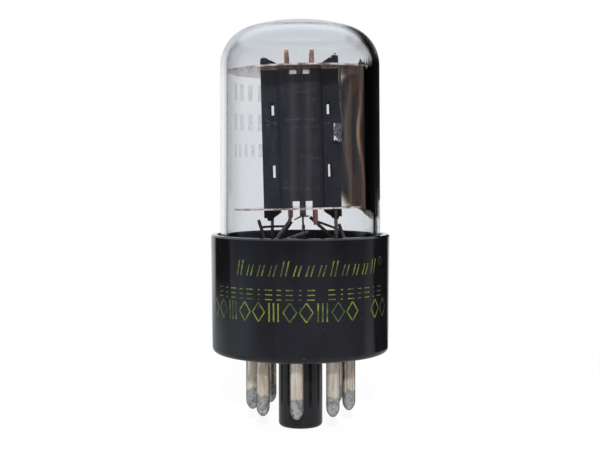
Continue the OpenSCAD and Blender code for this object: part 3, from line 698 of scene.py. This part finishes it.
def emitter(name, centre, size, look_at, power):
    """A rectangular lamp that only lights: neither the camera nor light through glass sees it."""
    lamp = bpy.data.lights.new(name, "AREA")
    lamp.shape = "RECTANGLE"
    lamp.size, lamp.size_y = size
    lamp.energy = power
    obj = bpy.data.objects.new(name, lamp)
    obj.location = centre
    obj.rotation_euler = (Vector(look_at) - Vector(centre)).to_track_quat("-Z", "Y").to_euler()
    obj.visible_camera = obj.visible_transmission = False
    bpy.context.scene.collection.objects.link(obj)
    return obj


def sides_of_room(p, x, y, flag_end):
    """Colour of the room by direction: white behind the tube, black flags at its sides, dim in front.

    The flag on the right reaches round to flag_end, in degrees from the front.
    """
    place = p.math("MULTIPLY_ADD", p.turn(x, y), 1 / 360, 0.5)
    white, pale, black = (1.0, 1.0, 1.0), (0.90, 0.91, 0.92), (0.004, 0.004, 0.005)
    cool, grey, middle = (0.38, 0.41, 0.50), (0.34, 0.33, 0.33), (0.21, 0.215, 0.26)
    warm, dim = (0.20, 0.20, 0.225), (0.155, 0.155, 0.175)
    stops = [(-162, white), (-141, pale), (-136, black), (-101, black), (-96, cool), (-66, cool),
             (-52, warm), (-34, warm), (-24, middle), (8, middle), (30, dim), (82, dim), (92, grey),
             (102, grey), (106, black), (flag_end, black), (flag_end + 7, white)]
    return p.ramp(place, [((angle + 180) / 360, colour) for angle, colour in stops], False)


def surround():
    """The world: the room's sides, with a bright ceiling."""
    world = bpy.data.worlds.new("surround")
    world.use_nodes = True
    p = Paint("surround", world.node_tree)
    background = p.tree.nodes["Background"]
    x, y, z = p.xyz(p.add("ShaderNodeTexCoord").outputs["Generated"])
    # light that has only passed through glass comes from a backdrop that is white all round,
    # but for a grey stretch that draws the left edge of the bulb
    path = p.add("ShaderNodeLightPath").outputs
    unseen = p.math("SUBTRACT", 1.0, path["Is Camera Ray"])
    stretch = p.math("MULTIPLY", p.hill(p.turn(x, y), -138.0, 12.0), unseen)
    backdrop = p.mix(stretch, (1.0, 1.0, 1.0), (0.76, 0.78, 0.79))
    unbounced = p.math("LESS_THAN", p.math("MAXIMUM", path["Glossy Depth"], path["Diffuse Depth"]), 0.5)
    flag_end = 166  # past the film's rear edge, so that the film's outside stays black to its edge
    sides = p.mix(unbounced, sides_of_room(p, x, y, flag_end), backdrop)
    sides = p.mix(p.rise(z, 0.16, 0.28), sides, (0.74, 0.76, 0.79), "MULTIPLY")
    p.put(background.inputs["Color"], p.mix(p.rise(z, 0.46, 0.60), sides, (1.0, 1.02, 1.06)))
    background.inputs["Strength"].default_value = 1.0
    bpy.context.scene.world = world


def floor_paint():
    """A white floor, in which polished surfaces mirror the room's sides instead."""
    p = Paint("pale_floor")
    grain = p.noise(60, 3, 0.5)
    matt = p.surface(Base_Color=p.mix(grain, (0.90, 0.90, 0.90), (0.96, 0.96, 0.96)), Roughness=0.9)
    x, y, _ = p.xyz()
    far = p.radius(x, y)
    white = p.blend(p.ramp(far, [(0.0, 0.9), (0.06, 0.96), (0.12, 1.0)]), matt, p.glow())
    # direction from the tube: 1 straight behind it, and 1 straight to its right
    reach = p.math("MAXIMUM", far, 0.001)
    behind, right = p.math("DIVIDE", y, reach), p.math("DIVIDE", x, reach)
    flag_end = 149
    walls = sides_of_room(p, x, y, flag_end)
    fade = p.ramp(far, [(0.10, (1.7, 1.7, 1.75)), (0.24, (1.1, 1.1, 1.15)),
                        (0.42, (0.42, 0.42, 0.46))], False)
    room = p.mix(1.0, walls, fade, "MULTIPLY")
    room = p.mix(p.smooth(-0.1, 0.3, behind), room, walls)
    beside = p.times(p.smooth(-0.35, 0.25, behind), p.smooth(0.0, -0.3, right), p.smooth(0.30, 0.10, far))
    room = p.mix(beside, room, (0.42, 0.45, 0.50))
    room = p.mix(p.smooth(0.045, 0.100, far), (0.5, 0.5, 0.52), room)
    path = p.add("ShaderNodeLightPath").outputs
    mirrored = p.math("MULTIPLY", path["Is Glossy Ray"], p.math("MINIMUM", path["Glossy Depth"], 1.0))
    return p.finish(p.blend(mirrored, white, p.glow(room)))


def pale_floor():
    """A round pale floor under the post that fades into the white backdrop."""
    rings, around, edge = 40, 96, 1.6
    floor_z = base_low.z
    bm = bmesh.new()
    rows = []
    for i in range(1, rings + 1):
        r = edge * (i / rings) ** 2
        rows.append([bm.verts.new((r * math.cos(TAU * k / around), r * math.sin(TAU * k / around), floor_z))
                     for k in range(around)])
    middle = bm.verts.new((0, 0, floor_z))
    for k in range(around):
        after = (k + 1) % around
        bm.faces.new((middle, rows[0][k], rows[0][after]))
        for inner, outer in zip(rows, rows[1:]):
            bm.faces.new((inner[k], outer[k], outer[after], inner[after]))
    mesh = bpy.data.meshes.new("floor")
    bm.to_mesh(mesh)
    bm.free()
    mesh.materials.append(floor_paint())
    floor = bpy.data.objects.new("floor", mesh)
    bpy.context.scene.collection.objects.link(floor)


def camera():
    """A long lens a little above the middle of the tube, tipped down slightly."""
    aside, away, height = -0.045, 212, 33  # millimetres from the axis and the seating plane
    tip, roll = math.radians(90 - 2.785), math.radians(-0.12)
    data = bpy.data.cameras.new("camera")
    data.sensor_width = 36
    data.lens = 70.8
    cam = bpy.data.objects.new("camera", data)
    cam.matrix_world = (Matrix.Translation((aside * MM, -away * MM, height * MM))
                        @ Matrix.Rotation(tip, 4, "X") @ Matrix.Rotation(roll, 4, "Z"))
    bpy.context.scene.collection.objects.link(cam)
    bpy.context.scene.camera = cam


surround()
pale_floor()
camera()
key = emitter("key_front", (0.02, -0.95, 0.44), (0.06, 0.06), (0, 0, 0.03), 18.0)
key.visible_glossy = False
emitter("dome_streak", (0.0, -0.8, 0.66), (0.009, 0.4), (0, 0, 0.05), 0.05)
scene = bpy.context.scene
scene.view_settings.view_transform = "Standard"
# light runs a long way inside the glass wall
scene.cycles.max_bounces = scene.cycles.transmission_bounces = 32
scene.cycles.glossy_bounces = scene.cycles.transparent_max_bounces = 24
